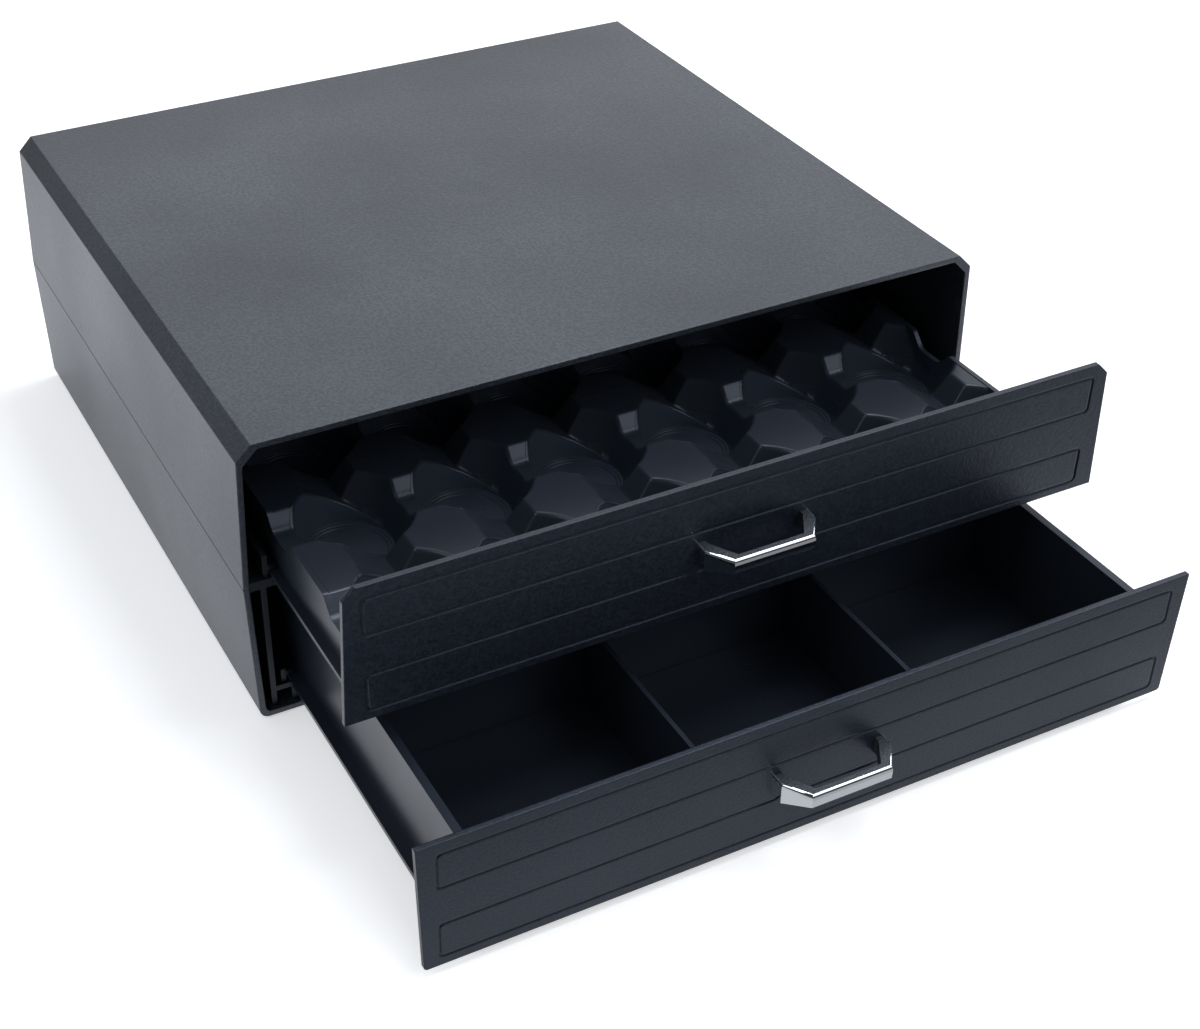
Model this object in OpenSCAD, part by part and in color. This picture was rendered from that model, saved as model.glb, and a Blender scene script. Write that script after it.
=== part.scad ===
// Two-tier coffee pod drawer: a flat case that a coffee machine stands on, with a
// pod tray sliding out of its upper half and a divided storage tray below it.
// Millimetres. +Z is up, -Y is the front that the drawers come out of.
// The origin is the centre of the case's underside, and both drawers are drawn
// pulled out by open_upper and open_lower.

/* [Case] */
// Width of the case at the seam between its two shells
case_w = 340; // [320:5:360]
// Depth of the case, front rim to back
case_d = 302; // [296:2:330]
// Height of the case above its underside
case_h = 131; // [128:1:140]
// Height of the seam between the lower and the upper shell
seam_z = 66.5; // [66:0.5:68]
// Wall thickness of both shells
wall = 2.5; // [2:0.1:3]
// How far each side leans in from the seam to the top
draft_top = 2.6; // [1:0.1:4]
// How far each side leans in from the seam to the underside
draft_base = 1.5; // [0.5:0.1:2.5]
// Flat bevel along both long top edges
top_bevel = 6.4; // [4:0.2:8]
// Rounding of both long bottom edges
base_round = 4; // [3:0.5:6]

/* [Drawers] */
// How far the pod tray is pulled out
open_upper = 93.3; // [0:0.1:200]
// How far the storage tray is pulled out
open_lower = 153.9; // [0:0.1:200]
// Furthest that a drawer pulls out before its stop tabs catch
full_travel = 200; // [160:5:210]
// Thickness of the drawer fronts
front_t = 2.3; // [2:0.1:3]
// Thickness of the trays' walls and floors
tray_t = 2.2; // [1.6:0.1:2.6]

/* [Pod tray] */
// Pod places across the tray
pod_cols = 6; // [4:1:7]
// Pod places from front to back
pod_rows = 5; // [3:1:6]
// Sideways offset of the pod pattern on the tray
pod_shift = 2.3; // [0:0.1:3]
// Width of a post between four pods
post_w = 26.4; // [20:0.2:28]
// Depth of a post between four pods
post_l = 33; // [26:0.5:36]
// Radius that the posts leave round a pod's axis
pod_clear_r = 22.4; // [20:0.1:24]
// Radius of the recess that locates a pod's base
pod_base_r = 18.6; // [16:0.1:20]
// Height of the post tops above the underside of the case
post_top_z = 90.3; // [86:0.1:96]

/* [Storage tray] */
// Height of the storage tray's rim
tub_top_z = 54.5; // [45:0.5:56]
// Height of the dividers' top edges
divider_top_z = 44.5; // [30:0.5:50]
// Distance from the centre line to each lengthwise divider
divider_x = 48; // [40:1:60]
// Thickness of dividers and cross walls
divider_t = 2; // [1.6:0.1:2.4]

/* [Handles] */
// Half the width of a handle at its feet
grip_half_w = 24.8; // [22:0.2:30]
// How far a handle stands out from its drawer front
grip_depth = 16; // [14:0.5:22]
// Height of a handle at its feet
grip_h = 9; // [8:0.1:12]
// Height of the bar that the fingers pull
grip_bar_h = 5.8; // [5:0.1:8]

/* [Hidden] */
$fn = 48;
gap = 0.3;                              // running gap between a drawer and the case
eps = 0.01;                             // overrun of a cut past the face it opens

// Case.
half_w = case_w / 2;
front_y = -case_d / 2;
back_y = case_d / 2;
seam_groove = 0.5;                      // shadow line along the seam
foot_r = 8;
foot_proud = 1;                         // feet stand this far below the underside
foot_sunk = 0.8;
foot_x = half_w - 22;
foot_y = case_d / 2 - 24;

// Rails: one moulded side frame each side carries both drawers.
rail_front_y = front_y + front_t + gap;
rail_back_y = back_y - wall;
rail_out_x = half_w - wall - 0.4;
ledge_in_x = half_w - 14.4;             // inner edge of the ledge under the pod tray
web_in_x = half_w - 10.1;
web_t = 2.4;
ledge_t = 4.1;
low_ledge_z = 12;                       // top of the ledge under the storage tray
low_ledge_in_x = half_w - 18.5;
low_ledge_t = 2.5;
low_web_t = 2;                          // upright under the inner edge of the low ledge
guide_t = 2.2;                          // upright ribs that guide the trays' flanges
guide_h = 10;
guide_x = half_w - 12;
low_guide_x = half_w - 15.2;
low_guide_h = 6.5;
hook_l = 4;                             // stop hooks over the flanges, at the front
hook_t = 2.2;
hook_reach = 3.4;
rib_set_back = 1.4;

// Screws.
shank_r = 1.45;
shank_play = 0.05;
head_r = 2.9;
head_t = 1.7;
rail_screw_pitch = 95;
rail_screw_y = [for (i = [-1, 0, 1]) i * rail_screw_pitch];
rail_screw_x = half_w - 5.4;
rail_screw_l = 8;
rail_boss_r = 2.4;
rail_boss_h = 7.5;
base_screw_x = half_w - 14.2;
base_screw_l = 8.4;
base_boss_r = 3.2;
hole_end = 1.4;                         // depth of a screw hole past the tip of its screw
sink_play = 0.1;                        // room round a countersunk head

// Pod tray, in its closed place.
tray_half = half_w - 16.2;
tray_front_y = front_y + front_t;
tray_back_y = back_y - wall - 1.4;
tray_low_z = seam_z + gap;
flange_t = 2.2;
flange_out_x = half_w - 12.5;
cup_floor_z = tray_low_z + flange_t + 2;
seat_depth = 0.8;
pitch_x = 2 * tray_half / pod_cols;
pitch_y = (tray_back_y - tray_front_y - 3.3) / pod_rows;
pattern_y = tray_back_y - pod_rows * pitch_y / 2;
lip_w = 80;                             // raised front lip that the handle screws hold
lip_top_z = 112;
scallop_drop = 6.7;                     // dips of the side walls beside the pods
scallop_flat = 6.2;
post_t = 2;                             // walls and tops of the hollow posts

// Storage tray, in its closed place.
tub_half = half_w - 21.3;
tub_wall = 3.4;
tub_low_z = 4;
tub_floor_t = 2;
tub_flange_out_x = half_w - 15.8;
tub_flange_z = low_ledge_z + gap;
tub_in_front_y = tray_front_y + tray_t;
tub_in_back_y = tray_back_y - tray_t;
cell_l = (tub_in_back_y - tub_in_front_y - 2 * divider_t) / 3;
slot_play = 0.15;
divider_play = 0.1;
divider_low_z = tub_low_z + tub_floor_t + divider_play;
divider_mid_z = (divider_low_z + divider_top_z) / 2;
cross_y = [for (i = [1, 2]) tub_in_front_y + i * cell_l + (i - 0.5) * divider_t];

// Stop tabs on the flanges meet the hooks at full travel.
stop_tab_l = 4;
stop_tab_y = rail_front_y + rib_set_back + hook_l + full_travel + gap;

// Drawer fronts.
up_front_low_z = seam_z + gap + 2;
up_front_top_z = case_h - wall - 1;
up_front_bevel = 4.9;
low_front_low_z = 3;
low_front_top_z = seam_z - ledge_t - 0.4;
low_front_bevel = 1;
up_front_play = 1.1;                    // gap each side between a front and the case
low_front_play = 0.45;
engrave_w = 1.2;
engrave_d = 0.5;
engrave_r = 2.5;
engrave_h = 17;
up_engrave_w = case_w - 24.6;
low_engrave_w = case_w - 20;
up_engrave_z = [80.5, 114];             // centres of the two outlines on each front
low_engrave_z = [15, 48.6];
peg_x = 118;                            // flat pegs that locate a front on its tray
peg_w = 10;
peg_t = 2;
peg_l = tray_t - 0.2;
peg_play = 0.25;
peg_up_z = 78;
peg_low_z = 40;

// Handles.
grip_drop = 1.2;                        // handles sit this far below the middle of their fronts
grip_z_up = (up_front_low_z + up_front_top_z) / 2 - grip_drop;
grip_z_low = (low_front_low_z + low_front_top_z) / 2 - grip_drop;
grip_bar_half_w = grip_half_w - 7.2;
grip_knee = 5.8;
grip_bar_t = 3.3;
grip_leg_in = 4.1;                      // width of a leg where it leaves the front
grip_foot_in = 0.4;                     // a leg leans in this much up to its knee
grip_heel = 2;                          // length of a leg before the hollow slants in
trim_t = 1;                             // chrome shell over the core
trim_edge = [[0.9, 0], [0.45, 0.35], [0.15, 0.75], [0, 1.25]];  // insets of its rounded top edge, by drop
trim_undercut = 0.4;
grip_screw_x = grip_half_w - 2.6;
grip_screw_r = 0.9;
grip_screw_head_r = 2;
grip_screw_head_t = 1.3;
grip_screw_l = 10;
grip_hole_l = 6;                        // depth of the screw holes in a handle's feet

// Half width of the case's outside at height z.
function side_x(z) = z > seam_z
    ? half_w - draft_top * (z - seam_z) / (case_h - seam_z)
    : half_w - draft_base * (seam_z - z) / seam_z;

// Corner arc of radius r about [cx, cz] from angle a0 to a1.
function arc(cx, cz, r, a0, a1, n = 6) =
    [for (i = [0:n]) let (a = a0 + (a1 - a0) * i / n) [cx + r * cos(a), cz + r * sin(a)]];

function mirror_x(pts) = [for (i = [len(pts) - 1:-1:0]) [-pts[i].x, pts[i].y]];

// Extrudes an outline drawn in X and Z from y0 back to y1.
module along_y(y0, y1) {
    translate([0, y1, 0]) rotate([90, 0, 0]) linear_extrude(y1 - y0) children();
}

// Box from corner a to corner b.
module block(a, b) {
    translate(a) cube(b - a);
}

// A shape and its mirror image across the centre plane.
module both_sides() {
    children();
    mirror([1, 0, 0]) children();
}

module countersunk_screw(len) {
    cylinder(r1 = head_r, r2 = shank_r, h = head_t);
    cylinder(r = shank_r, h = len);
}

// ---- Case ----

// Outline of the upper shell at a given inset from its outside.
module upper_outline(inset) {
    top = case_h - inset;
    right = [
        [side_x(seam_z) - inset, seam_z],
        [side_x(top - top_bevel) - inset, top - top_bevel],
        [side_x(top - top_bevel) - inset - top_bevel, top]
    ];
    polygon(concat(right, mirror_x(right)));
}

// Outline of the lower shell at a given inset from its outside.
module lower_outline(inset) {
    r = base_round - inset / 2;
    x = side_x(0) - inset;
    right = concat(
        arc(x - r, inset + r, r, -90, 0),
        [[side_x(seam_z) - inset, seam_z]]
    );
    polygon(concat(right, mirror_x(right)));
}

module rail_bosses() {
    both_sides() for (y = rail_screw_y)
        intersection() {
            translate([rail_screw_x, y, seam_z]) cylinder(r = rail_boss_r + 1, h = rail_boss_h);
            block([rail_screw_x - rail_boss_r, y - 10, seam_z], [half_w - wall / 2, y + 10, case_h]);
        }
}

module upper_shell() {
    color("#4a5055") difference() {
        union() {
            difference() {
                along_y(front_y, back_y) upper_outline(0);
                along_y(front_y - 1, back_y - wall) {
                    upper_outline(wall);
                    translate([-half_w + wall, seam_z - 1]) square([case_w - 2 * wall, 1 + eps]);
                }
            }
            intersection() {
                rail_bosses();
                along_y(front_y, back_y) upper_outline(0);
            }
        }
        both_sides() for (y = rail_screw_y)
            translate([rail_screw_x, y, seam_z - 1])
                cylinder(r = shank_r + shank_play, h = rail_screw_l - ledge_t + hole_end + 1);
    }
}

module lower_shell() {
    color("#454b50") difference() {
        along_y(front_y, back_y) lower_outline(0);
        along_y(front_y - 1, back_y - wall) {
            lower_outline(wall);
            translate([-half_w + wall, seam_z - eps]) square([case_w - 2 * wall, 1]);
        }
        seam_line();
        both_sides() for (y = rail_screw_y) translate([base_screw_x, y, 0]) {
            translate([0, 0, -1]) cylinder(r = shank_r + shank_play, h = wall + 2);
            cylinder(r1 = head_r + sink_play, r2 = shank_r + sink_play, h = head_t + shank_play);
        }
        for (x = [-foot_x, foot_x], y = [-foot_y, foot_y])
            translate([x, y, -1]) cylinder(r = foot_r, h = foot_sunk + 1);
    }
}

// Shadow groove round the outside, just under the seam.
module seam_line() {
    z0 = seam_z - seam_groove;
    both_sides() block([half_w - seam_groove, front_y - 1, z0], [half_w + 1, back_y + 1, seam_z + 1]);
    block([-half_w, back_y - seam_groove, z0], [half_w, back_y + 1, seam_z + 1]);
}

module right_rail() {
    ledge_z = seam_z - ledge_t;
    rib_y = rail_front_y + rib_set_back;
    difference() {
        union() {
            along_y(rail_front_y, rail_back_y) {
                translate([ledge_in_x, ledge_z]) square([rail_out_x - ledge_in_x, ledge_t]);
                translate([web_in_x, wall]) square([web_t, ledge_z - wall + eps]);
                translate([low_ledge_in_x, low_ledge_z - low_ledge_t])
                    square([web_in_x - low_ledge_in_x + eps, low_ledge_t]);
                translate([low_ledge_in_x, wall]) square([low_web_t, low_ledge_z - wall]);
            }
            along_y(rib_y, rail_back_y) {
                translate([guide_x, seam_z - eps]) square([guide_t, guide_h]);
                translate([low_guide_x, low_ledge_z - eps]) square([guide_t, low_guide_h]);
            }
            // hooks that reach in over the trays' flanges
            block([guide_x - hook_reach, rib_y, tray_low_z + flange_t + gap],
                  [guide_x + eps, rib_y + hook_l, tray_low_z + flange_t + gap + hook_t]);
            block([low_guide_x - hook_reach, rib_y, tub_flange_z + flange_t + gap],
                  [low_guide_x + eps, rib_y + hook_l, tub_flange_z + flange_t + gap + hook_t]);
            for (y = rail_screw_y) translate([base_screw_x, y, wall])
                cylinder(r = base_boss_r, h = low_ledge_z - wall - low_ledge_t + 0.5);
        }
        for (y = rail_screw_y) {
            translate([base_screw_x, y, wall - 1])
                cylinder(r = shank_r + shank_play, h = base_screw_l - wall + hole_end);
            translate([rail_screw_x, y, ledge_z - 1])
                cylinder(r = shank_r + shank_play, h = ledge_t + 2);
            translate([rail_screw_x, y, ledge_z - eps])
                cylinder(r1 = head_r + sink_play, r2 = shank_r + sink_play, h = head_t + shank_play);
        }
    }
}

module rail_right() {
    color("#2c3034") right_rail();
}

module rail_left() {
    color("#2c3034") mirror([1, 0, 0]) right_rail();
}

module rail_screws() {
    color("silver") both_sides() for (y = rail_screw_y)
        translate([rail_screw_x, y, seam_z - ledge_t]) countersunk_screw(rail_screw_l);
}

module base_screws() {
    color("silver") both_sides() for (y = rail_screw_y)
        translate([base_screw_x, y, 0]) countersunk_screw(base_screw_l);
}

module foot(side, end) {
    color("#1b1c1e") translate([side * foot_x, end * foot_y, -foot_proud])
        cylinder(r = foot_r, h = foot_proud + foot_sunk);
}

module foot_front_left() { foot(-1, -1); }
module foot_front_right() { foot(1, -1); }
module foot_rear_left() { foot(-1, 1); }
module foot_rear_right() { foot(1, 1); }

// ---- Drawer fronts and handles ----

// Long engraved outline, w by h about the origin, in the plane of a front.
module engraved_outline(w, h) {
    difference() {
        rounded(w, h, engrave_r);
        rounded(w - 2 * engrave_w, h - 2 * engrave_w, engrave_r - engrave_w);
    }
}

module rounded(w, h, r) {
    square([w - 2 * r, h], center = true);
    square([w, h - 2 * r], center = true);
    for (x = [-1, 1], y = [-1, 1]) translate([x * (w / 2 - r), y * (h / 2 - r)]) circle(r);
}

// Two flat pegs on the back of a front, in holes in the wall of its tray.
module pegs(z) {
    for (x = [-peg_x, peg_x])
        block([x - peg_w / 2, -eps, z - peg_t / 2], [x + peg_w / 2, peg_l, z + peg_t / 2]);
}

module peg_holes(z) {
    for (x = [-peg_x, peg_x])
        block([x - peg_w / 2 - peg_play, -1, z - peg_t / 2 - peg_play],
              [x + peg_w / 2 + peg_play, tray_t + eps, z + peg_t / 2 + peg_play]);
}

// A drawer front with its back face at y = 0: outline points, width and heights of the
// engraved outlines, heights of the handle and of the pegs.
module drawer_front(outline, band_w, band_z, grip_z, peg_z) {
    difference() {
        union() {
            along_y(-front_t, 0) polygon(outline);
            pegs(peg_z);
        }
        for (z = band_z)
            along_y(-front_t - 1, -front_t + engrave_d)
                translate([0, z]) engraved_outline(band_w, engrave_h);
        grip_holes(grip_z, -front_t - 1, 1);
    }
}

module grip_holes(z, y0, y1) {
    for (x = [-grip_screw_x, grip_screw_x])
        translate([x, y0, z]) rotate([-90, 0, 0])
            cylinder(r = grip_screw_r + shank_play, h = y1 - y0);
}

// Plan outline of a handle, out from the drawer front, at a given inset.
function grip_outline(inset) = [
    [-grip_half_w + inset, 0],
    [-grip_half_w + grip_foot_in + inset, -grip_knee],
    [-grip_bar_half_w + inset * 0.6, -grip_depth + inset],
    [grip_bar_half_w - inset * 0.6, -grip_depth + inset],
    [grip_half_w - grip_foot_in - inset, -grip_knee],
    [grip_half_w - inset, 0]
];

// Side of the bow that the fingers reach behind.
grip_hollow = [
    [-grip_half_w + grip_leg_in, 1],
    [-grip_half_w + grip_leg_in, -grip_heel],
    [-grip_bar_half_w + grip_bar_t, -grip_depth + grip_bar_t],
    [grip_bar_half_w - grip_bar_t, -grip_depth + grip_bar_t],
    [grip_half_w - grip_leg_in, -grip_heel],
    [grip_half_w - grip_leg_in, 1]
];

// Front view of a handle: level along the top, deeper below at its two feet.
grip_elevation = [
    [-grip_half_w - 1, grip_h / 2],
    [-grip_half_w - 1, -grip_h / 2],
    [-grip_half_w + grip_foot_in, -grip_h / 2],
    [-grip_bar_half_w, grip_h / 2 - grip_bar_h],
    [grip_bar_half_w, grip_h / 2 - grip_bar_h],
    [grip_half_w - grip_foot_in, -grip_h / 2],
    [grip_half_w + 1, -grip_h / 2],
    [grip_half_w + 1, grip_h / 2]
];

module grip_core() {
    intersection() {
        translate([0, 0, -grip_h]) linear_extrude(2 * grip_h) difference() {
            polygon(grip_outline(trim_t));
            polygon(grip_hollow);
        }
        along_y(-grip_depth - 1, 0) polygon(grip_elevation);
        difference() {
            block([-grip_half_w, -grip_depth, -grip_h], [grip_half_w, 0, grip_h]);
            for (x = [-grip_screw_x, grip_screw_x])
                translate([x, -grip_hole_l, 0]) rotate([-90, 0, 0])
                    cylinder(r = grip_screw_r + shank_play, h = grip_hole_l + 1);
        }
    }
}

module grip_slice(inset, z) {
    translate([0, 0, z]) linear_extrude(eps) polygon(grip_outline(inset));
}

module grip_trim() {
    intersection() {
        difference() {
            hull() {
                for (step = trim_edge) grip_slice(step[0], grip_h / 2 - step[1]);
                grip_slice(trim_undercut, -grip_h / 2 - 1);
            }
            translate([0, 0, -grip_h]) linear_extrude(2 * grip_h) {
                polygon(grip_outline(trim_t));
                translate([-grip_half_w + trim_t, -1]) square([2 * (grip_half_w - trim_t), 2]);
            }
        }
        along_y(-grip_depth - 1, 0) polygon(grip_elevation);
    }
}

module grip_screws() {
    for (x = [-grip_screw_x, grip_screw_x])
        translate([x, front_t + tray_t, 0]) rotate([90, 0, 0]) {
            cylinder(r = grip_screw_r, h = grip_screw_l);
            translate([0, 0, -grip_screw_head_t]) cylinder(r = grip_screw_head_r, h = grip_screw_head_t);
        }
}

// ---- Pod tray drawer ----

module place_upper() {
    translate([0, -open_upper, 0]) children();
}

// Plan outline of a post: a rectangle whose corners stay clear of the four pods round it.
module post_outline(inset) {
    reach = norm([pitch_x, pitch_y]) / 2 - pod_clear_r - inset;
    diag_x = reach * norm([pitch_x, pitch_y]) / pitch_x;
    diag_y = reach * norm([pitch_x, pitch_y]) / pitch_y;
    intersection() {
        square([post_w - 2 * inset, post_l - 2 * inset], center = true);
        polygon([[diag_x, 0], [0, diag_y], [-diag_x, 0], [0, -diag_y]]);
    }
}

module posts(inset, z0, z1) {
    translate([0, 0, z0]) linear_extrude(z1 - z0)
        intersection() {
            for (i = [0:pod_cols], j = [0:pod_rows])
                translate([pod_shift + (i - pod_cols / 2) * pitch_x, pattern_y + (j - pod_rows / 2) * pitch_y])
                    post_outline(inset);
            translate([-tray_half + inset, tray_front_y + inset])
                square([2 * (tray_half - inset), tray_back_y - tray_front_y - 2 * inset]);
        }
}

// Dips of a side wall beside the pods.
module scallops() {
    for (j = [0:pod_rows - 1])
        translate([0, pattern_y + (j - (pod_rows - 1) / 2) * pitch_y, post_top_z])
            rotate([90, 0, 90]) linear_extrude(case_w, center = true)
                polygon([[-scallop_flat - scallop_drop, eps], [-scallop_flat, -scallop_drop],
                         [scallop_flat, -scallop_drop], [scallop_flat + scallop_drop, eps],
                         [scallop_flat, scallop_drop], [-scallop_flat, scallop_drop]]);
}

module pod_tray() {
    color("#34393d") place_upper() difference() {
        union() {
            difference() {
                block([-tray_half, tray_front_y, tray_low_z], [tray_half, tray_back_y, post_top_z]);
                block([-tray_half + tray_t, tray_front_y + tray_t, cup_floor_z],
                      [tray_half - tray_t, tray_back_y - tray_t, post_top_z + 1]);
                scallops();
            }
            block([-lip_w / 2, tray_front_y, tray_low_z], [lip_w / 2, tray_front_y + tray_t, lip_top_z]);
            both_sides() {
                block([tray_half - eps, tray_front_y, tray_low_z], [flange_out_x, tray_back_y, tray_low_z + flange_t]);
                block([tray_half - eps, stop_tab_y, tray_low_z],
                      [flange_out_x, stop_tab_y + stop_tab_l, tray_low_z + flange_t + gap + hook_t]);
            }
            posts(0, cup_floor_z - eps, post_top_z);
        }
        posts(post_t, tray_low_z - 1, post_top_z - post_t);
        for (i = [0:pod_cols - 1], j = [0:pod_rows - 1])
            translate([pod_shift + (i - (pod_cols - 1) / 2) * pitch_x,
                       pattern_y + (j - (pod_rows - 1) / 2) * pitch_y, cup_floor_z - seat_depth])
                cylinder(r = pod_base_r, h = seat_depth + 1);
        translate([0, tray_front_y, 0]) {
            grip_holes(grip_z_up, -1, tray_t + 1);
            peg_holes(peg_up_z);
        }
    }
}

module upper_front() {
    x_low = side_x(up_front_low_z) - wall - up_front_play;
    x_top = side_x(up_front_top_z) - wall - up_front_play;
    right = [[x_low, up_front_low_z], [x_top, up_front_top_z - up_front_bevel],
             [x_top - up_front_bevel, up_front_top_z]];
    color("#2b2f36") place_upper() translate([0, tray_front_y, 0])
        drawer_front(concat(right, mirror_x(right)), up_engrave_w, up_engrave_z, grip_z_up, peg_up_z);
}

module place_upper_grip() {
    place_upper() translate([0, front_y, grip_z_up]) children();
}

module upper_handle_core() { color("#3c4146") place_upper_grip() grip_core(); }
module upper_handle_trim() { color("#d8dade") place_upper_grip() grip_trim(); }
module upper_handle_screws() { color("silver") place_upper_grip() grip_screws(); }

// ---- Storage tray drawer ----

module place_lower() {
    translate([0, -open_lower, 0]) children();
}

module storage_tray() {
    color("#34393d") place_lower() difference() {
        union() {
            difference() {
                block([-tub_half, tray_front_y, tub_low_z], [tub_half, tray_back_y, tub_top_z]);
                block([-tub_half + tub_wall, tub_in_front_y, tub_low_z + tub_floor_t],
                      [tub_half - tub_wall, tub_in_back_y, tub_top_z + 1]);
            }
            both_sides() {
                block([tub_half - eps, tray_front_y, tub_flange_z], [tub_flange_out_x, tray_back_y, tub_flange_z + flange_t]);
                block([tub_half - eps, stop_tab_y, tub_flange_z],
                      [tub_flange_out_x, stop_tab_y + stop_tab_l, tub_flange_z + flange_t + gap + hook_t]);
            }
        }
        translate([0, tray_front_y, 0]) {
            grip_holes(grip_z_low, -1, tray_t + 1);
            peg_holes(peg_low_z);
        }
    }
}

module divider(x) {
    color("#3a3f43") place_lower() difference() {
        block([x - divider_t / 2, tub_in_front_y + divider_play, divider_low_z],
              [x + divider_t / 2, tub_in_back_y - divider_play, divider_top_z]);
        for (y = cross_y)
            block([x - divider_t, y - divider_t / 2 - slot_play, divider_mid_z],
                  [x + divider_t, y + divider_t / 2 + slot_play, divider_top_z + 1]);
    }
}

module divider_left() { divider(-divider_x); }
module divider_right() { divider(divider_x); }

module cross_wall(y) {
    half = tub_half - tub_wall - divider_play;
    color("#3a3f43") place_lower() difference() {
        block([-half, y - divider_t / 2, divider_low_z], [half, y + divider_t / 2, divider_top_z]);
        for (x = [-divider_x, divider_x])
            block([x - divider_t / 2 - slot_play, y - divider_t, divider_low_z - 1],
                  [x + divider_t / 2 + slot_play, y + divider_t, divider_mid_z + divider_play]);
    }
}

module cross_wall_front() { cross_wall(cross_y[0]); }
module cross_wall_rear() { cross_wall(cross_y[1]); }

module lower_front() {
    x_low = side_x(low_front_low_z) - wall - low_front_play;
    x_top = side_x(low_front_top_z) - wall - low_front_play;
    right = [[x_low - low_front_bevel, low_front_low_z], [x_low, low_front_low_z + low_front_bevel],
             [x_top, low_front_top_z]];
    color("#2b2f36") place_lower() translate([0, tray_front_y, 0])
        drawer_front(concat(right, mirror_x(right)), low_engrave_w, low_engrave_z, grip_z_low, peg_low_z);
}

module place_lower_grip() {
    place_lower() translate([0, front_y, grip_z_low]) children();
}

module lower_handle_core() { color("#3c4146") place_lower_grip() grip_core(); }
module lower_handle_trim() { color("#d8dade") place_lower_grip() grip_trim(); }
module lower_handle_screws() { color("silver") place_lower_grip() grip_screws(); }

upper_shell();
lower_shell();
rail_left();
rail_right();
rail_screws();
base_screws();
foot_front_left();
foot_front_right();
foot_rear_left();
foot_rear_right();
pod_tray();
upper_front();
upper_handle_core();
upper_handle_trim();
upper_handle_screws();
storage_tray();
divider_left();
divider_right();
cross_wall_front();
cross_wall_rear();
lower_front();
lower_handle_core();
lower_handle_trim();
lower_handle_screws();
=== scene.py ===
import math

import bpy
import numpy as np
from mathutils import Matrix, Vector


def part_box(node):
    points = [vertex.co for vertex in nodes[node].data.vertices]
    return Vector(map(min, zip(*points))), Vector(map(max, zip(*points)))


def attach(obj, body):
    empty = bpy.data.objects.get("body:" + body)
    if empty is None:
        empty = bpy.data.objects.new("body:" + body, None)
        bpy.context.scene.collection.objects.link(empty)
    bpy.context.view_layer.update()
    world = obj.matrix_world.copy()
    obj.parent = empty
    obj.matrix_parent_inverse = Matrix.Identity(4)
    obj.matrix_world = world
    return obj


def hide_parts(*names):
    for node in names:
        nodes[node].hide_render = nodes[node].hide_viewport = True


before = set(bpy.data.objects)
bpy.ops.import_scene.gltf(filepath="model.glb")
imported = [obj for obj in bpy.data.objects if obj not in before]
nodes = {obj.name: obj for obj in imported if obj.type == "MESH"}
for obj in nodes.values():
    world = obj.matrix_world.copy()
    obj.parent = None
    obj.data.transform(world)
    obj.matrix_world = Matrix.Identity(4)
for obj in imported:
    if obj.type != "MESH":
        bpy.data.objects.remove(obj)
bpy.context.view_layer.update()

mm = 0.001
print("frame loaded,", len(nodes), "nodes")


# sRGB hex to the linear RGBA that shaders work in: the standard curve, channel by channel.
def linearColour(hexCode):
    channels = [int(hexCode[i:i + 2], 16) / 255 for i in (1, 3, 5)]
    return [c / 12.92 if c < 0.04045 else ((c + 0.055) / 1.055) ** 2.4 for c in channels] + [1.0]


# Adds one node, sets its sockets or properties by name, and links the named sockets.
def addNode(tree, kind, settings=None, links=None):
    node = tree.nodes.new(kind)
    for key, value in (settings or {}).items():
        if isinstance(key, int) or key in node.inputs:
            node.inputs[key].default_value = value
        else:
            setattr(node, key, value)
    for key, source in (links or {}).items():
        tree.links.new(source, node.inputs[key])
    return node


# A material with an empty tree, its Principled shader, and an output node that shows it.
def startMaterial(name, shaderSettings):
    material = bpy.data.materials.new(name)
    material.use_nodes = True
    tree = material.node_tree
    tree.nodes.clear()
    shader = addNode(tree, "ShaderNodeBsdfPrincipled", shaderSettings)
    addNode(tree, "ShaderNodeOutputMaterial", links={"Surface": shader.outputs["BSDF"]})
    return material, tree, shader


# A noise runs from 0 to 1, but most of its points lie in a narrow span round the middle. These are
# the spans that turn the gloss, the grain and the clouds from one end to the other.
noiseSpan = {
    "gloss": {"From Min": 0.3, "From Max": 0.7},
    "grain": {"From Min": 0.35, "From Max": 0.65},
    "cloud": {"From Min": 0.2, "From Max": 0.8},
}


# Moulded plastic: its roughness drifts slowly, by drift either way, where the melt ran. Sizes are
# in millimetres, and edgeRadius is the small rounding that a mould leaves. The grain and the mark
# of the gate are optional.
def mouldedPlastic(name, look):
    material, tree, shader = startMaterial(name, {
        "Base Color": linearColour(look["colour"]),
        "IOR": look["ior"], "Specular IOR Level": look["sheen"],
        "Specular Tint": linearColour(look["sheenTint"])})
    place = addNode(tree, "ShaderNodeTexCoord").outputs["Object"]
    drift = addNode(tree, "ShaderNodeTexNoise", {
        "Scale": 1 / (look["driftSize"] * mm), "Detail": 2.0, "Roughness": 0.5},
        {"Vector": place}).outputs["Fac"]
    gloss = addNode(tree, "ShaderNodeMapRange", {
        **noiseSpan["gloss"], "To Min": look["roughness"] - look["drift"],
        "To Max": look["roughness"] + look["drift"]}, {"Value": drift})
    tree.links.new(gloss.outputs["Result"], shader.inputs["Roughness"])
    normal = addNode(tree, "ShaderNodeBevel", {
        "samples": 6, "Radius": look["edgeRadius"] * mm}).outputs["Normal"]
    if "grainDepth" in look:
        normal = mouldGrain(tree, shader, look, place, drift, normal)
    if "gateMark" in look:
        normal = gateDimple(tree, place, normal, look["gateMark"])
    tree.links.new(normal, shader.inputs["Normal"])
    return material


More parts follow.
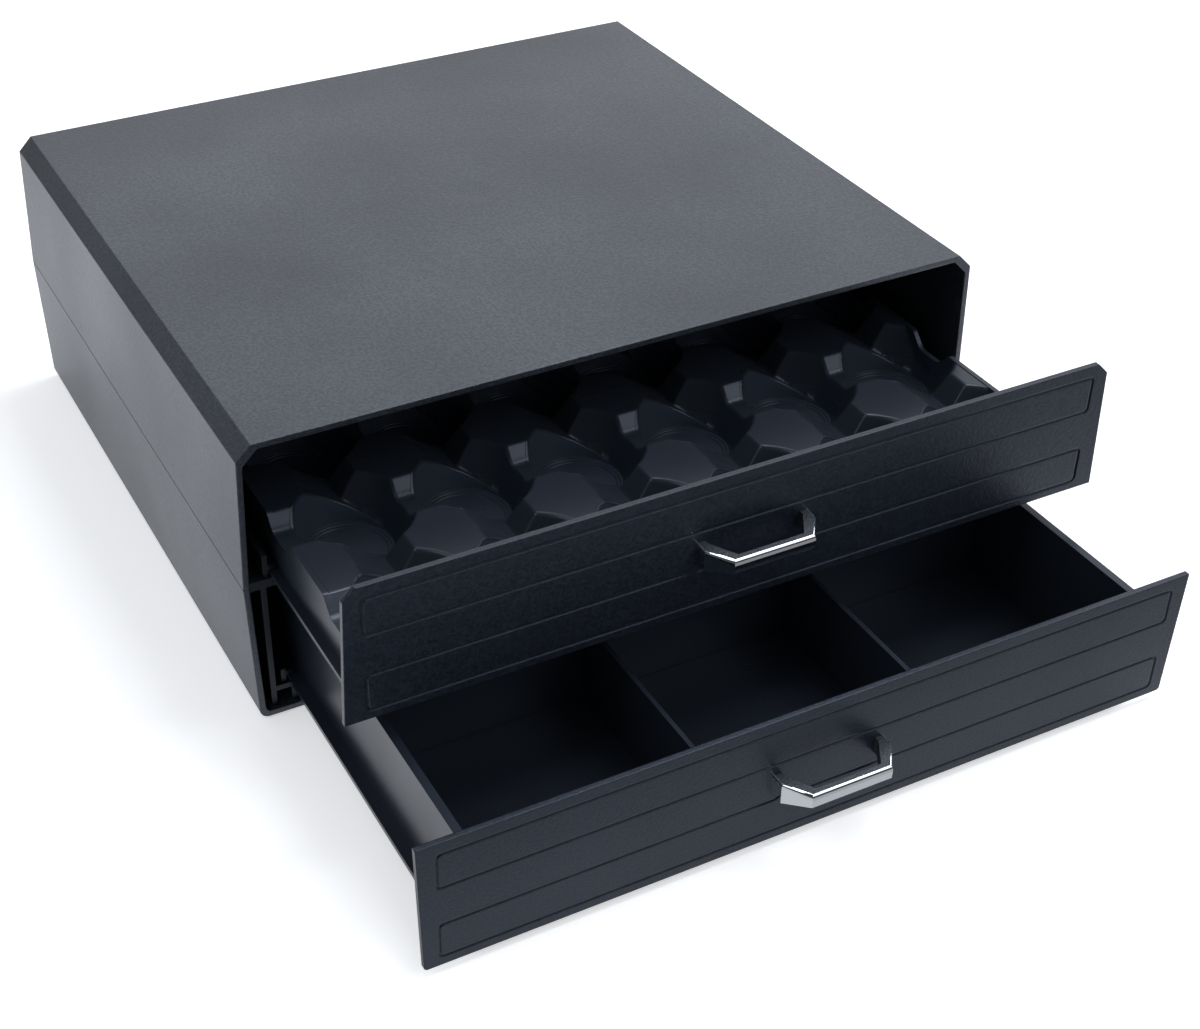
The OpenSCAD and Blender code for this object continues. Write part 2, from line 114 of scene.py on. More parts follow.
# The grain of an eroded mould: a noise that raises the surface by grainDepth, and scales the colour
# from 1 less to 1 more than the look's share of painted grain light: painted shade in the hollows
# and painted highlight on the tips. Broad clouds scale it again, from 1 + cloud to 1 - cloud. A
# real grain is a tenth of a millimetre wide, too fine to show at this size, so it is drawn as
# coarse as it needs to show.
def mouldGrain(tree, shader, look, place, drift, normal):
    grain = addNode(tree, "ShaderNodeTexNoise", {
        "Scale": 1 / (look["grainSize"] * mm), "Detail": 3.0, "Roughness": 0.6},
        {"Vector": place}).outputs["Fac"]
    # Painted shade in the grain's hollows and painted highlight on its tips.
    shade = addNode(tree, "ShaderNodeMapRange", {
        **noiseSpan["grain"], "To Min": 1 - look["paintedGrainLight"], "To Max": 1 + look["paintedGrainLight"]},
        {"Value": grain})
    cloud = addNode(tree, "ShaderNodeMapRange", {
        **noiseSpan["cloud"], "To Min": 1 + look["cloud"], "To Max": 1 - look["cloud"]},
        {"Value": drift})
    level = addNode(tree, "ShaderNodeMath", {"operation": "MULTIPLY"},
                    {0: shade.outputs["Result"], 1: cloud.outputs["Result"]})
    colour = addNode(tree, "ShaderNodeVectorMath", {
        "operation": "SCALE", 0: linearColour(look["colour"])[:3]}, {"Scale": level.outputs[0]})
    tree.links.new(colour.outputs["Vector"], shader.inputs["Base Color"])
    return addNode(tree, "ShaderNodeBump", {
        "Strength": 1.0, "Distance": look["grainDepth"] * mm},
        {"Height": grain, "Normal": normal}).outputs["Normal"]


# Shallow dimple round the point where the mould was filled: a smooth step down towards the part's
# own z axis, its depth and radius in millimetres.
def gateDimple(tree, place, normal, mark):
    flat = addNode(tree, "ShaderNodeVectorMath", {
        "operation": "MULTIPLY", 1: (1, 1, 0)}, {0: place})
    reach = addNode(tree, "ShaderNodeVectorMath", {
        "operation": "LENGTH"}, {0: flat.outputs["Vector"]})
    sink = addNode(tree, "ShaderNodeMapRange", {
        "interpolation_type": "SMOOTHSTEP", "From Max": mark["radius"] * mm},
        {"Value": reach.outputs["Value"]})
    return addNode(tree, "ShaderNodeBump", {"Strength": 1.0, "Distance": mark["depth"] * mm},
                   {"Height": sink.outputs["Result"], "Normal": normal}).outputs["Normal"]


# Plated metal: one colour, and a haze of hazeSize millimetres that takes the roughness from the
# first of two values to the second.
def platedMetal(name, look):
    material, tree, shader = startMaterial(name, {
        "Base Color": linearColour(look["colour"]), "Metallic": 1.0})
    place = addNode(tree, "ShaderNodeTexCoord").outputs["Object"]
    haze = addNode(tree, "ShaderNodeTexNoise", {
        "Scale": 1 / (look["hazeSize"] * mm), "Detail": look["hazeDetail"]}, {"Vector": place})
    gloss = addNode(tree, "ShaderNodeMapRange", {
        "To Min": look["roughness"][0], "To Max": look["roughness"][1]},
        {"Value": haze.outputs["Fac"]})
    tree.links.new(gloss.outputs["Result"], shader.inputs["Roughness"])
    return material


# Spark-eroded black ABS: the grain scatters the studio light into a flat grey veil.
caseLook = {
    "colour": "#282c32", "sheenTint": "#dce6f4", "ior": 1.54, "sheen": 0.84, "roughness": 0.42,
    "drift": 0.04, "driftSize": 120, "edgeRadius": 0.8,
    "grainSize": 1.3, "grainDepth": 0.14, "paintedGrainLight": 0.7, "cloud": 0.5,
    "gateMark": {"radius": 14, "depth": 0.28},
}
# The same ABS from a glossier mould. Its colour, darker than the case's, is painted shade from the
# dim studio in front, and it has a soft sheen where it faces the floor.
frontLook = {
    "colour": "#1a1e26", "sheenTint": "#c8d6f0", "ior": 1.54, "sheen": 0.55, "roughness": 0.36,
    "drift": 0.02, "driftSize": 60, "edgeRadius": 0.7,
    "grainSize": 1.2, "grainDepth": 0.16, "paintedGrainLight": 0.4, "cloud": 0.15,
}
# Smooth moulded polypropylene: a soft satin gloss with no grain.
trayLook = {
    "colour": "#20252d", "sheenTint": "#d0dcf0", "ior": 1.5, "sheen": 0.56, "roughness": 0.3,
    "drift": 0.03, "driftSize": 45, "edgeRadius": 0.4,
}
# The same plastic inside the cups, painted a little paler as painted light that lifts the shade in
# the sockets.
socketLook = {**trayLook, "colour": "#2f3540"}
# Glass-filled nylon rails: dull black, so they read only as edges inside the case.
railLook = {
    "colour": "#11141a", "sheenTint": "#d4def0", "ior": 1.53, "sheen": 0.5, "roughness": 0.45,
    "drift": 0.03, "driftSize": 30, "edgeRadius": 0.3,
    "grainSize": 0.7, "grainDepth": 0.03, "paintedGrainLight": 0.1, "cloud": 0.1,
}
# Deeply eroded ABS of the grips' cores: its grain glints on the top edge.
gripLook = {
    "colour": "#1a1e24", "sheenTint": "#dfe8f4", "ior": 1.54, "sheen": 1.0, "roughness": 0.5,
    "drift": 0.02, "driftSize": 20, "edgeRadius": 0.25,
    "grainSize": 0.9, "grainDepth": 0.3, "paintedGrainLight": 0.4, "cloud": 0.1,
}
# Moulded rubber: almost black and matt, with a slight bloom.
rubberLook = {
    "colour": "#17181a", "sheenTint": "#ffffff", "ior": 1.5, "sheen": 0.5, "roughness": 0.75,
    "drift": 0.05, "driftSize": 8, "edgeRadius": 0.3,
    "grainSize": 0.5, "grainDepth": 0.03, "paintedGrainLight": 0.1, "cloud": 0.1,
}
# Bright chrome plate on moulded plastic: mirror-like, faintly blue, with the haze of handling.
chromeLook = {"colour": "#dcdfe4", "hazeSize": 9, "hazeDetail": 3.0, "roughness": (0.04, 0.12)}
# Zinc-plated screw steel: duller and greyer than chrome. Its turning marks, a few hundredths of a
# millimetre apart, are too fine to show, and a coarser haze stands for them.
zincLook = {"colour": "#a9adb3", "hazeSize": 1.5, "hazeDetail": 2.0, "roughness": (0.25, 0.42)}

finishes = {
    "case": mouldedPlastic("spark eroded black ABS", caseLook),
    "front": mouldedPlastic("grained black ABS", frontLook),
    "tray": mouldedPlastic("satin black polypropylene", trayLook),
    # The socket finish is the tray's plastic painted paler: painted light in the sockets' shade.
    "socket": mouldedPlastic("black polypropylene painted paler", socketLook),
    "rail": mouldedPlastic("glass filled nylon", railLook),
    "grip": mouldedPlastic("coarse grained ABS", gripLook),
    "chrome": platedMetal("bright chrome plate", chromeLook),
    "steel": platedMetal("zinc plated steel", zincLook),
    "rubber": mouldedPlastic("moulded rubber", rubberLook),
}

nodeFinish = {
    "upper_shell": "case", "lower_shell": "case",
    "rail_left": "rail", "rail_right": "rail",
    "rail_screws": "steel", "base_screws": "steel",
    "foot_front_left": "rubber", "foot_front_right": "rubber",
    "foot_rear_left": "rubber", "foot_rear_right": "rubber",
    "pod_tray": "tray", "storage_tray": "tray",
    "divider_left": "tray", "divider_right": "tray",
    "cross_wall_front": "tray", "cross_wall_rear": "tray",
    "upper_front": "front", "lower_front": "front",
    "upper_handle_core": "grip", "lower_handle_core": "grip",
    "upper_handle_trim": "chrome", "lower_handle_trim": "chrome",
    "upper_handle_screws": "steel", "lower_handle_screws": "steel",
}

for nodeName, finish in nodeFinish.items():
    slots = nodes[nodeName].data.materials
    slots.clear()
    slots.append(finishes[finish])
print("materials on", len(nodeFinish), "nodes")


# Millimetres, with heights from the case's underside. The tray is one moulding of cups in columns
# and rows, with posts between them. Rows are counted from the tray's back edge, and the rear block
# holds rearRows of them, on coarser lines. A softness is the height over which two faces round
# into each other.
trayShape = {
    "columns": 6, "rows": 5, "rearRows": 3,
    "pitchX": 51.27, "pitchY": 58.5, "cupShiftX": 2.3,
    "wall": 2.2, "flangeTop": 69.0, "flangeReach": 3.7, "rimTop": 90.3,
    "lipHalf": 40, "lipTop": 112,                           # the raised lip behind the grip
    "tabY": (-36.0, -32.0), "tabTop": 71.5,                 # stop tabs on the flanges
    "landFrom": 14.05, "landTo": 41.0, "steepFall": 1.38,   # posts, seen along x
    "landHalfY": 16.4, "saddleFall": 1.05, "saddleTop": 83.6,    # and along y
    "shelfAtAxis": 83.6, "shelfFall": 0.65,
    "coneFoot": 19.0, "coneHead": 27.5,                     # radii at the cup's floor and rim
    "cupFloor": 71.0, "socketFoot": 18.7, "socketHead": 20.6,
    "hubRadius": 4.0, "ringRadii": (16.0, 17.4), "ringStep": 0.5, "ringRun": 0.12,
    "floorEdge": (0.35, 0.08), "rimFillet": 0.95,           # roundings at the wall's foot and rim
    "cupSegments": 160, "cupOuter": 21.9, "bandOverlap": 1.2, "bandLift": 0.02,
    "deckUnderCups": 69.5, "baseLift": 0.5,
    "ridgeSoftness": 0.9, "crestSoftness": 0.3, "saddleSoftness": 2.5, "facetSoftness": 0.4,
    "frontPitch": 0.64, "rearPitch": 0.78,                  # grid lines
}


# The lower of two heights, rounded off over k where they meet: min(a, b) less a parabola.
def softMin(a, b, k):
    h = np.clip(1 - np.abs(a - b) / k, 0, 1)
    return np.minimum(a, b) - h * h * k / 4


# The higher of two heights, rounded off in the same way.
def softMax(a, b, k):
    return -softMin(-a, -b, k)


# Height of the land round one column of cups, x measured from the cup's axis: level from landFrom
# to landTo, then a long ramp down to the next cup, and a short steep one up to its land.
def landHeight(x, s):
    past = (x - s["landTo"]) % s["pitchX"]
    nextLand = s["pitchX"] - s["landTo"] + s["landFrom"]
    fall = s["rimTop"] - s["shelfFall"] * past
    rise = s["rimTop"] + s["steepFall"] * (past - nextLand)
    land = np.where(past > nextLand, s["rimTop"], softMax(fall, rise, s["ridgeSoftness"]))
    return softMin(land, s["rimTop"], s["crestSoftness"])


# Height of the saddles between neighbouring posts, y measured from the cup's axis: level over the
# posts, a slope of about 45 degrees, and a low saddle beside the cup.
def saddleHeight(y, s):
    fromPost = s["pitchY"] / 2 - np.abs(y)
    slope = s["rimTop"] - s["saddleFall"] * (fromPost - s["landHalfY"])
    saddle = softMax(slope, s["saddleTop"], s["saddleSoftness"])
    return softMin(saddle, s["rimTop"], s["crestSoftness"])


# Height round one cup, outside its socket: the land, cut by a wide cone that opens the cup to the
# right, down to a shelf that falls from left to right. The cone's height rises with the radius.
def shelfHeight(x, y, s):
    soft = s["ridgeSoftness"]
    top = softMin(landHeight(x, s), saddleHeight(y, s), soft)
    rise = (s["rimTop"] - s["cupFloor"]) / (s["coneHead"] - s["coneFoot"])
    cone = s["cupFloor"] + rise * (np.hypot(x, y) - s["coneFoot"])
    shelf = s["shelfAtAxis"] - s["shelfFall"] * x
    facets = softMax(softMin(top, cone, soft), softMin(top, shelf, soft), s["facetSoftness"])
    return np.maximum(facets, s["cupFloor"])


# Height of the whole deck at (x, y), at rest: the lowest of what a cup and its neighbours left and
# right give. Under the cups it drops out of sight, because each socket is a turned solid.
def deckHeight(x, y, s, backY):
    column = np.round((x - s["cupShiftX"]) / s["pitchX"] - 0.5) + 0.5
    row = np.floor((y - backY) / s["pitchY"]) + 0.5
    cupX = x - s["cupShiftX"] - column * s["pitchX"]
    cupY = y - backY - row * s["pitchY"]
    z = np.minimum(shelfHeight(cupX, cupY, s),
                   np.minimum(shelfHeight(cupX + s["pitchX"], cupY, s),
                              shelfHeight(cupX - s["pitchX"], cupY, s)))
    underCup = np.hypot(cupX, cupY) < s["cupOuter"] - s["bandOverlap"]
    return np.where(underCup, s["deckUnderCups"], z)


# The tray between its outer faces: flanges outside, then side walls whose rims dip with the
# saddles, the front wall with its raised lip, the back wall, and the deck between.
def trayHeights(xs, ys, s, low, high):
    x, y = np.meshgrid(xs, ys, indexing="ij")
    frontY, backY = low.y / mm, high.y / mm
    half = high.x / mm - s["flangeReach"]
    rim = saddleHeight((y - backY) % s["pitchY"] - s["pitchY"] / 2, s)
    tab = (y > s["tabY"][0]) & (y < s["tabY"][1])
    inFront = y < frontY + s["wall"]
    z = deckHeight(x, y, s, backY)
    z = np.where((y > backY - s["wall"]) | inFront, s["rimTop"], z)
    z = np.where(inFront & (np.abs(x) < s["lipHalf"]), s["lipTop"], z)
    z = np.where(np.abs(x) > half - s["wall"], rim, z)
    return np.where(np.abs(x) > half, np.where(tab, s["tabTop"], s["flangeTop"]), z)


# Evenly spaced grid lines, with a pair of lines half a gap either side of each sheer step, and no
# even line nearer to a step than clear.
def gridLines(start, stop, pitch, steps, gap=0.02, clear=0.2):
    even = np.linspace(start, stop, int(round((stop - start) / pitch)) + 1)
    inner = [p for p in steps if start + clear / 2 < p < stop - clear / 2]
    for p in inner:
        even = even[np.abs(even - p) > clear]
    return np.sort(np.concatenate([even] + [[p - gap / 2, p + gap / 2] for p in inner]))


# Makes the object for a mesh, smooth but for edges sharper than sharpFrom degrees.
def finishPiece(name, mesh, sharpFrom=50):
    mesh.set_sharp_from_angle(angle=math.radians(sharpFrom))
    mesh.validate()
    piece = bpy.data.objects.new(name, mesh)
    bpy.context.scene.collection.objects.link(piece)
    return piece


# A closed block with a shaped top: heights on a grid, side walls down to lowZ, and a flat base.
def blockFromHeights(name, xs, ys, heights, lowZ):
    nx, ny = len(xs), len(ys)
    gx, gy = np.meshgrid(xs, ys, indexing="ij")
    top = np.stack([gx, gy, heights], -1).reshape(-1, 3)
    index = np.arange(nx * ny).reshape(nx, ny)
    quads = np.stack([index[:-1, :-1], index[1:, :-1], index[1:, 1:], index[:-1, 1:]], -1)
    loop = np.concatenate([index[:-1, 0], index[-1, :-1], index[:0:-1, -1], index[0, :0:-1]])
    foot = top[loop] * [1, 1, 0] + [0, 0, lowZ]
    base = np.arange(len(loop)) + nx * ny
    skirt = np.stack([np.roll(loop, -1), loop, base, np.roll(base, -1)], -1)
    verts = np.concatenate([top, foot]) * mm
    faces = quads.reshape(-1, 4).tolist() + skirt.tolist() + [base[::-1].tolist()]
    mesh = bpy.data.meshes.new(name)
    mesh.from_pydata(verts.tolist(), [], faces)
    return finishPiece(name, mesh)


# One socket's rings, from the middle of its floor outwards: the radius and height of each ring at
# every angle. The floor steps up by ringStep at each fine ring, the wall leans out, a small fillet
# turns over its rim, and a narrow band lies on the shelf. wallTop counts the rings that lie below
# the fillet.
def socketRings(angle, s, lowZ):
    cx, cy = np.cos(angle), np.sin(angle)
    steps, floorZ = len(s["ringRadii"]), s["cupFloor"]
    lean = (s["socketHead"] - s["socketFoot"]) / (s["rimTop"] - floorZ)
    rimR = np.full_like(angle, s["socketHead"])
    for _ in range(4):                      # nearer each time to where the wall meets the shelf
        rimZ = shelfHeight(rimR * cx, rimR * cy, s)
        rimR = s["socketFoot"] + lean * (rimZ - floorZ)
    fillet = np.minimum(s["rimFillet"], (rimZ - floorZ) / 2)
    floor = [(s["hubRadius"], floorZ - steps * s["ringStep"])]
    for i, r in enumerate(s["ringRadii"]):
        floor += [(r - s["ringRun"], floorZ - (steps - i) * s["ringStep"]),
                  (r + s["ringRun"], floorZ - (steps - i - 1) * s["ringStep"])]
    wide, narrow = s["floorEdge"]
    floor += [(s["socketFoot"] - wide, floorZ), (s["socketFoot"] - narrow, floorZ + narrow)]
    radii = [np.full_like(angle, r) for r, z in floor]
    levels = [np.full_like(angle, z) for r, z in floor]
    for share in (0.05, 0.5, 1.0):          # up the wall, to where the fillet starts
        z = floorZ + share * (rimZ - fillet - floorZ)
        radii.append(s["socketFoot"] + lean * (z - floorZ))
        levels.append(z)
    wallTop = len(radii)
    for turn in (30, 60, 90):               # round the fillet, in degrees
        out, up = math.cos(math.radians(turn)), math.sin(math.radians(turn))
        r = rimR + fillet * (1 - out)
        radii.append(r)
        levels.append(shelfHeight(r * cx, r * cy, s) - fillet * (1 - up) + s["bandLift"])
    for share in (0.5, 1.0):                # the band on the shelf
        r = radii[-1] + share * (s["cupOuter"] - radii[-1])
        radii.append(r)
        levels.append(shelfHeight(r * cx, r * cy, s) + s["bandLift"])
    radii.append(radii[-1])
    levels.append(np.full_like(angle, lowZ))
    return np.array(radii), np.array(levels), wallTop


# Turned sockets, one closed solid for each cup: the rings carried round each cup's axis by angle,
# with a floor and a base. Floor and wall take the socket finish, the tray's plastic painted paler
# as light in the sockets' shade.
def cupSockets(s, backY, lowZ):
    angle = np.linspace(0, 2 * np.pi, s["cupSegments"], endpoint=False)
    r, z, wallTop = socketRings(angle, s, lowZ)
    oneCup = np.stack([r * np.cos(angle), r * np.sin(angle), z], -1).reshape(-1, 3)
    columns = np.arange(s["columns"]) - (s["columns"] - 1) / 2
    rows = -np.arange(s["rows"]) - 0.5
    axes = np.array([[s["cupShiftX"] + c * s["pitchX"], backY + row * s["pitchY"], 0]
                     for row in rows for c in columns])
    verts = (axes[:, None] + oneCup).reshape(-1, 3) * mm
    count, cups = len(r), len(axes)
    index = np.arange(r.size).reshape(r.shape)
    following = np.roll(index, -1, axis=1)
    quads = np.stack([index[:-1], index[1:], following[1:], following[:-1]], -1).reshape(-1, 4)
    starts = np.arange(cups) * r.size
    walls = (starts[:, None, None] + quads).reshape(-1, 4).tolist()
    floors = (starts[:, None] + index[0]).tolist()
    bases = (starts[:, None] + index[-1][::-1]).tolist()
    mesh = bpy.data.meshes.new("podSockets")
    mesh.from_pydata(verts.tolist(), [], walls + floors + bases)
    mesh.materials.append(finishes["tray"])
    mesh.materials.append(finishes["socket"])
    # Floors and walls take the paler socket finish: painted light in the sockets' shade.
    paintedPaler = np.repeat(np.arange(count - 1) < wallTop - 1, s["cupSegments"])
    paintedPaler = np.concatenate([np.tile(paintedPaler, cups), np.ones(cups), np.zeros(cups)])
    mesh.polygons.foreach_set("material_index", paintedPaler.astype(np.int32))
    return finishPiece("podSockets", mesh)


# The pod tray: the deck in two closed blocks, front and rear, and the sockets in it.
def podTray():
    s = trayShape
    low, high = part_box("pod_tray")
    half = high.x / mm - s["flangeReach"]
    frontY, backY = low.y / mm, high.y / mm
    midY = backY - s["rearRows"] * s["pitchY"]
    stepsX = [side * p for side in (-1, 1) for p in (half, half - s["wall"], s["lipHalf"])]
    stepsY = [frontY + s["wall"], backY - s["wall"], *s["tabY"]]
    pieces = []
    for name, y0, y1, pitch in (("podTrayFront", frontY, midY, s["frontPitch"]),
                                ("podTrayRear", midY, backY, s["rearPitch"])):
        xs = gridLines(low.x / mm, high.x / mm, pitch, stepsX)
        ys = gridLines(y0, y1, pitch, stepsY)
        piece = blockFromHeights(name, xs, ys, trayHeights(xs, ys, s, low, high), low.z / mm)
        piece.data.materials.append(finishes["tray"])
        pieces.append(piece)
        print(name, len(xs), "by", len(ys), "lines")
    pieces.append(cupSockets(s, backY, low.z / mm + s["baseLift"]))
    for piece in pieces:
        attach(piece, "upper_drawer")
    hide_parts("pod_tray")


podTray()
print("pod tray made")


# Millimetres, x along the drawer front and y out from it, z from the grip's middle. The profile
# goes from the trim's top edge outwards and down: how far in from the outline, and how far below
# the top. A bevel, then a face that turns upright in two steps and is undercut a little below them.
# lowZ and scale, the size of the profile, are given at the foot, the knee and the bar's corner.
trimShape = {
    "halfW": 24.8, "footIn": 0.4, "knee": 5.8, "barHalf": 17.6, "depth": 16.0, "mitre": 0.55,
    "topZ": 4.5, "lowZ": (-4.5, -4.5, -1.3), "thickness": 1.05, "undercut": 0.1,
    "profile": ((0.98, 0.0), (0.43, 0.59), (0.12, 1.17), (0.0, 2.4)), "scale": (0.6, 0.6, 1.0),
    "cornerReach": 0.12, "cornerSteps": 4,
}


# Corners of the grip's outline, set in by inset: foot, knee and bar corner, then the other side.
def gripOutline(inset, s):
    left = [(-s["halfW"] + inset, 0.0), (-s["halfW"] + s["footIn"] + inset, -s["knee"]),
            (-s["barHalf"] + s["mitre"] * inset, -s["depth"] + inset)]
    return left + [(-x, y) for x, y in left[::-1]]


# Rounds the inner corners of a polyline: each becomes a parabola between points at reach from it.
def roundCorners(points, reach, steps):
    p = np.array(points, float)
    rounded = [p[:1]]
    for before, corner, after in zip(p[:-2], p[1:-1], p[2:]):
        a = corner + (before - corner) * reach / np.linalg.norm(before - corner)
        b = corner + (after - corner) * reach / np.linalg.norm(after - corner)
        t = np.linspace(0, 1, steps + 1)[:, None]
        rounded.append(a * (1 - t) ** 2 + 2 * corner * t * (1 - t) + b * t ** 2)
    return np.concatenate(rounded + [p[-1:]])


# The trim's closed section at one corner of the outline, as pairs of inset and height: from the
# inner wall over the profile, down the outside, and back up inside. At the bar the top flat is
# shorter than the reach of its corner's rounding, so that is kept only from its last step but one.
def trimSection(lowZ, scale, s):
    inside = [(s["thickness"], lowZ), (s["thickness"], s["topZ"])]
    profile = [(inset * scale, s["topZ"] - drop * scale) for inset, drop in s["profile"]]
    outside = roundCorners([inside[1], *profile, (s["undercut"], lowZ)],
                           s["cornerReach"] * scale, s["cornerSteps"])
    return [*outside[s["cornerSteps"]:], *inside]


# One chrome trim: the section carried round the outline, foot to foot, and closed at both ends.
def chromeTrim(name, cadName, body):
    s = trimShape
    low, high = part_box(cadName)
    sections = []
    for corner, (lowZ, scale) in enumerate(zip(s["lowZ"] + s["lowZ"][::-1],
                                               s["scale"] + s["scale"][::-1])):
        sections.append([(*gripOutline(inset, s)[corner], z)
                         for inset, z in trimSection(lowZ, scale, s)])
    shift = [0, high.y / mm, high.z / mm - s["topZ"]]
    verts = (np.array(sections) + shift).reshape(-1, 3) * mm
    index = np.arange(len(verts)).reshape(len(sections), -1)
    after = np.roll(index, -1, axis=1)
    quads = np.stack([index[:-1], after[:-1], after[1:], index[1:]], -1).reshape(-1, 4)
    mesh = bpy.data.meshes.new(name)
    mesh.from_pydata(verts.tolist(), [],
                     quads.tolist() + [index[0][::-1].tolist(), index[-1].tolist()])
    piece = finishPiece(name, mesh, sharpFrom=25)
    piece.data.materials.append(finishes["chrome"])
    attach(piece, body)
    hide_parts(cadName)


chromeTrim("upperTrim", "upper_handle_trim", "upper_drawer")
chromeTrim("lowerTrim", "lower_handle_trim", "lower_drawer")
print("chrome trims made")


# 1 for rays that come from the eye, a mirror or glass, and 0 for the light that falls on things.
def seenRays(tree):
    path = addNode(tree, "ShaderNodeLightPath")
    seen = addNode(tree, "ShaderNodeMath", {"operation": "MAXIMUM"},
                   {0: path.outputs["Is Camera Ray"], 1: path.outputs["Is Glossy Ray"]})
    return addNode(tree, "ShaderNodeMath", {"operation": "MAXIMUM"},
                   {0: seen.outputs[0], 1: path.outputs["Is Transmission Ray"]}).outputs[0]


# Metres. What the eye sees of the floor is raised by lift near the object, and the rise grows to
# plain white from fadeFrom to whiteFrom away from it. In a gloss the floor carries painted shade
# towards the front: it is mixed towards black, losing the share dimShare of it, as y goes from
# dimFrom to dimTo.
floorLook = {
    "size": 60.0, "z": -0.001, "colour": "#ecedee", "roughness": 0.9,
    "lift": 0.47, "fadeFrom": 0.7, "whiteFrom": 2.6,
    "dimShare": 0.8, "dimFrom": -0.2, "dimTo": -0.42,
}


# Plain pale floor: a square that stays white to the eye and still takes the object's soft shadow.
def paleFloor():
    half, z = floorLook["size"] / 2, floorLook["z"]
    mesh = bpy.data.meshes.new("floor")
    mesh.from_pydata([(-half, -half, z), (half, -half, z), (half, half, z), (-half, half, z)],
                     [], [(0, 1, 2, 3)])
    floor = bpy.data.objects.new("floor", mesh)
    bpy.context.scene.collection.objects.link(floor)
    material, tree, shader = startMaterial("pale matt floor", {
        "Base Color": linearColour(floorLook["colour"]), "Roughness": floorLook["roughness"],
        "Specular IOR Level": 0.0, "Emission Color": linearColour("#ffffff")})
    place = addNode(tree, "ShaderNodeTexCoord").outputs["Object"]
    away = addNode(tree, "ShaderNodeVectorMath", {"operation": "LENGTH"}, {0: place})
    rise = addNode(tree, "ShaderNodeMapRange", {
        "interpolation_type": "SMOOTHSTEP", "From Min": floorLook["fadeFrom"],
        "From Max": floorLook["whiteFrom"], "To Min": floorLook["lift"], "To Max": 1.0},
        {"Value": away.outputs["Value"]})
    lift = addNode(tree, "ShaderNodeMath", {"operation": "MULTIPLY"},
                   {0: seenRays(tree), 1: rise.outputs["Result"]})
    tree.links.new(lift.outputs[0], shader.inputs["Emission Strength"])
    # Painted shade: a gloss sees the floor mixed towards black as it nears the front.
    front = addNode(tree, "ShaderNodeSeparateXYZ", links={0: place})
    lost = addNode(tree, "ShaderNodeMapRange", {
        "interpolation_type": "SMOOTHSTEP", "From Min": floorLook["dimTo"],
        "From Max": floorLook["dimFrom"], "To Min": floorLook["dimShare"], "To Max": 0.0},
        {"Value": front.outputs["Y"]})
    path = addNode(tree, "ShaderNodeLightPath")
    inGloss = addNode(tree, "ShaderNodeMath", {"operation": "MULTIPLY"},
                      {0: lost.outputs["Result"], 1: path.outputs["Is Glossy Ray"]})
    unlit = addNode(tree, "ShaderNodeBsdfDiffuse", {"Color": linearColour("#000000")})
    mix = addNode(tree, "ShaderNodeMixShader", links={
        0: inGloss.outputs[0], 1: shader.outputs["BSDF"], 2: unlit.outputs["BSDF"]})
    tree.links.new(mix.outputs[0], tree.get_output_node("ALL").inputs["Surface"])
    floor.data.materials.append(material)


# brightSide points right, back and up. A direction's dot product with it takes what a gloss sees
# there from the level dim, up to dimUpTo, to white, from whiteFrom.
surroundLook = {
    "fill": "#f1f4fa", "fillStrength": 0.55,
    "brightSide": (0.45, 0.62, 0.65), "dim": 0.05, "dimUpTo": 0.4, "whiteFrom": 0.9,
}


# White surround for the eye, and an even, slightly cool fill for the light that falls on things. In
# a gloss it is white to the right, behind and above, and dim towards the studio's front and left.
def whiteSurround():
    world = bpy.data.worlds.new("white surround")
    bpy.context.scene.world = world
    world.use_nodes = True
    tree = world.node_tree
    tree.nodes.clear()
    fill = addNode(tree, "ShaderNodeBackground", {
        "Color": linearColour(surroundLook["fill"]), "Strength": surroundLook["fillStrength"]})
    direction = addNode(tree, "ShaderNodeTexCoord").outputs["Generated"]
    towards = addNode(tree, "ShaderNodeVectorMath", {
        "operation": "DOT_PRODUCT", 1: surroundLook["brightSide"]}, {0: direction})
    sweep = addNode(tree, "ShaderNodeMapRange", {
        "interpolation_type": "SMOOTHSTEP", "From Min": surroundLook["dimUpTo"],
        "From Max": surroundLook["whiteFrom"], "To Min": surroundLook["dim"], "To Max": 1.0},
        {"Value": towards.outputs["Value"]})
    path = addNode(tree, "ShaderNodeLightPath")
    level = addNode(tree, "ShaderNodeMath", {"operation": "MAXIMUM"},
                    {0: path.outputs["Is Camera Ray"], 1: sweep.outputs["Result"]})
    white = addNode(tree, "ShaderNodeBackground", {"Color": linearColour("#ffffff")},
                    {"Strength": level.outputs[0]})
    mix = addNode(tree, "ShaderNodeMixShader", links={
        0: seenRays(tree), 1: fill.outputs[0], 2: white.outputs[0]})
    addNode(tree, "ShaderNodeOutputWorld", links={"Surface": mix.outputs[0]})


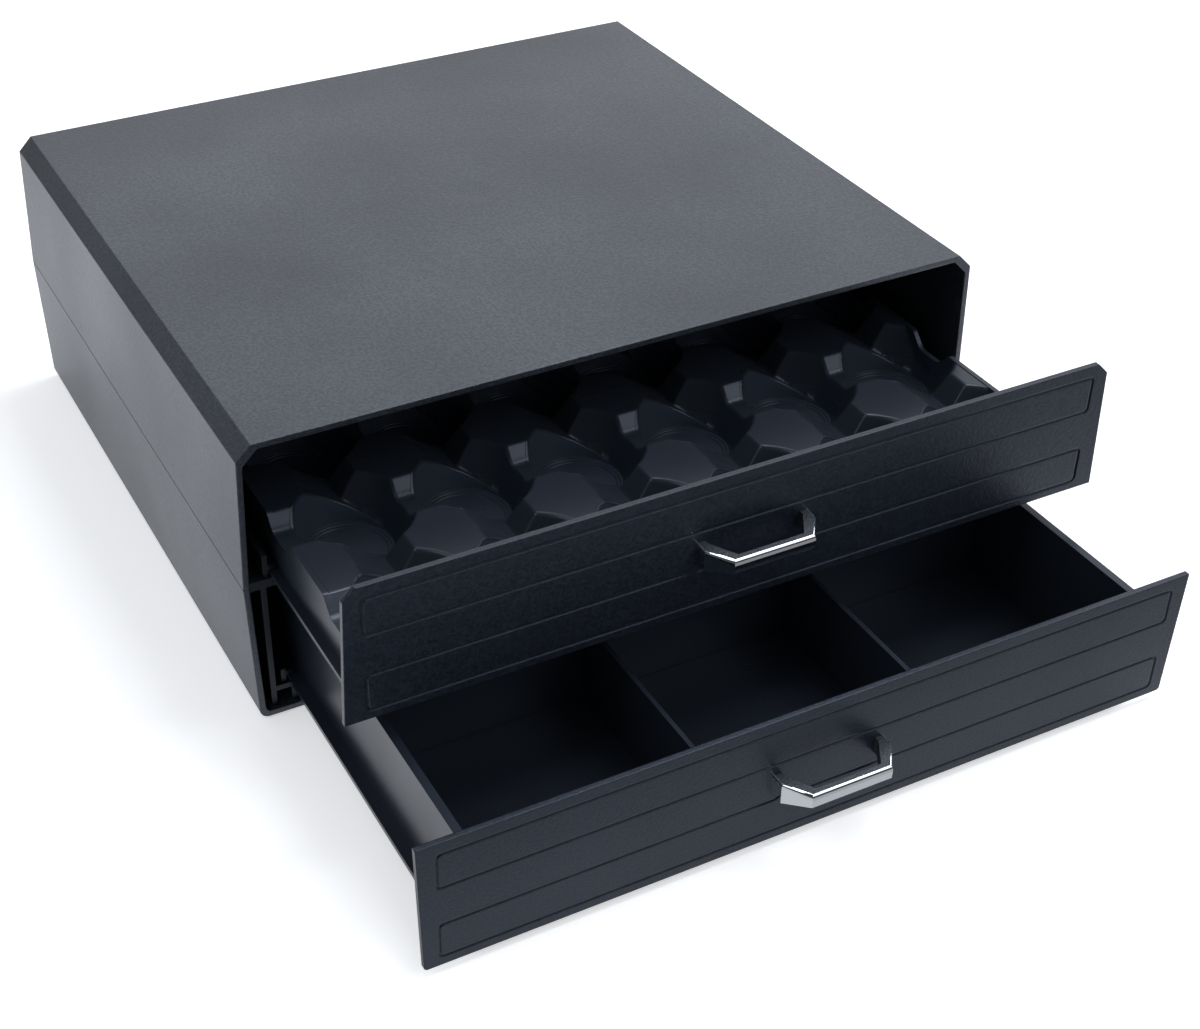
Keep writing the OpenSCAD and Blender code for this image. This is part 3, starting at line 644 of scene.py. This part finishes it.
# Square softboxes that face the object: place and side in metres, radiance and colour.
softboxes = {
    "topSoftbox": {
        "place": (1.0, -0.05, 2.35), "side": 1.4, "radiance": 6.3, "colour": "#f8faff"},
    "leftSoftbox": {
        "place": (-1.75, -0.2, 1.85), "side": 1.0, "radiance": 2.5, "colour": "#f2f6ff"},
    "keySoftbox": {
        "place": (1.17, -1.9, 1.78), "side": 1.7, "radiance": 1.85, "colour": "#fbfcff"},
}


# One softbox: the radiance of a square area lamp is its power over pi times its area.
def softbox(name, look):
    lamp = bpy.data.lights.new(name, "AREA")
    lamp.shape = "SQUARE"
    lamp.size = look["side"]
    lamp.energy = look["radiance"] * math.pi * look["side"] ** 2
    lamp.color = linearColour(look["colour"])[:3]
    box = bpy.data.objects.new(name, lamp)
    box.location = look["place"]
    box.rotation_euler = (-Vector(look["place"])).to_track_quat("-Z", "Y").to_euler()
    bpy.context.scene.collection.objects.link(box)


# The camera stands front left and above, with its lens axis a little left of the frame's middle.
# Its place, lens and sensor are in millimetres, its angles in degrees, and clipEnd in metres.
view = {
    "place": (-339.5, -729.0, 524.5), "azimuth": -26.76, "elevation": 36.08, "roll": -0.19,
    "lens": 58.17, "sensor": 36.0, "shift": (0.0624, 0.0165), "clipEnd": 50,
}


# The camera looks along its azimuth, down by its elevation, and is turned about that line by roll.
def placeCamera():
    cameraData = bpy.data.cameras.new("camera")
    cameraData.lens = view["lens"]
    cameraData.sensor_width = view["sensor"]
    cameraData.shift_x, cameraData.shift_y = view["shift"]
    cameraData.clip_end = view["clipEnd"]
    camera = bpy.data.objects.new("camera", cameraData)
    a, e = math.radians(view["azimuth"]), math.radians(view["elevation"])
    ahead = Vector((-math.sin(a) * math.cos(e), math.cos(a) * math.cos(e), -math.sin(e)))
    roll = Matrix.Rotation(math.radians(view["roll"]), 3, "Z")
    turn = ahead.to_track_quat("-Z", "Y").to_matrix() @ roll
    camera.matrix_world = Matrix.Translation(Vector(view["place"]) * mm) @ turn.to_4x4()
    bpy.context.scene.collection.objects.link(camera)
    bpy.context.scene.camera = camera


paleFloor()
whiteSurround()
for boxName, boxLook in softboxes.items():
    softbox(boxName, boxLook)
placeCamera()
bpy.context.scene.view_settings.view_transform = "Standard"
print("studio ready")
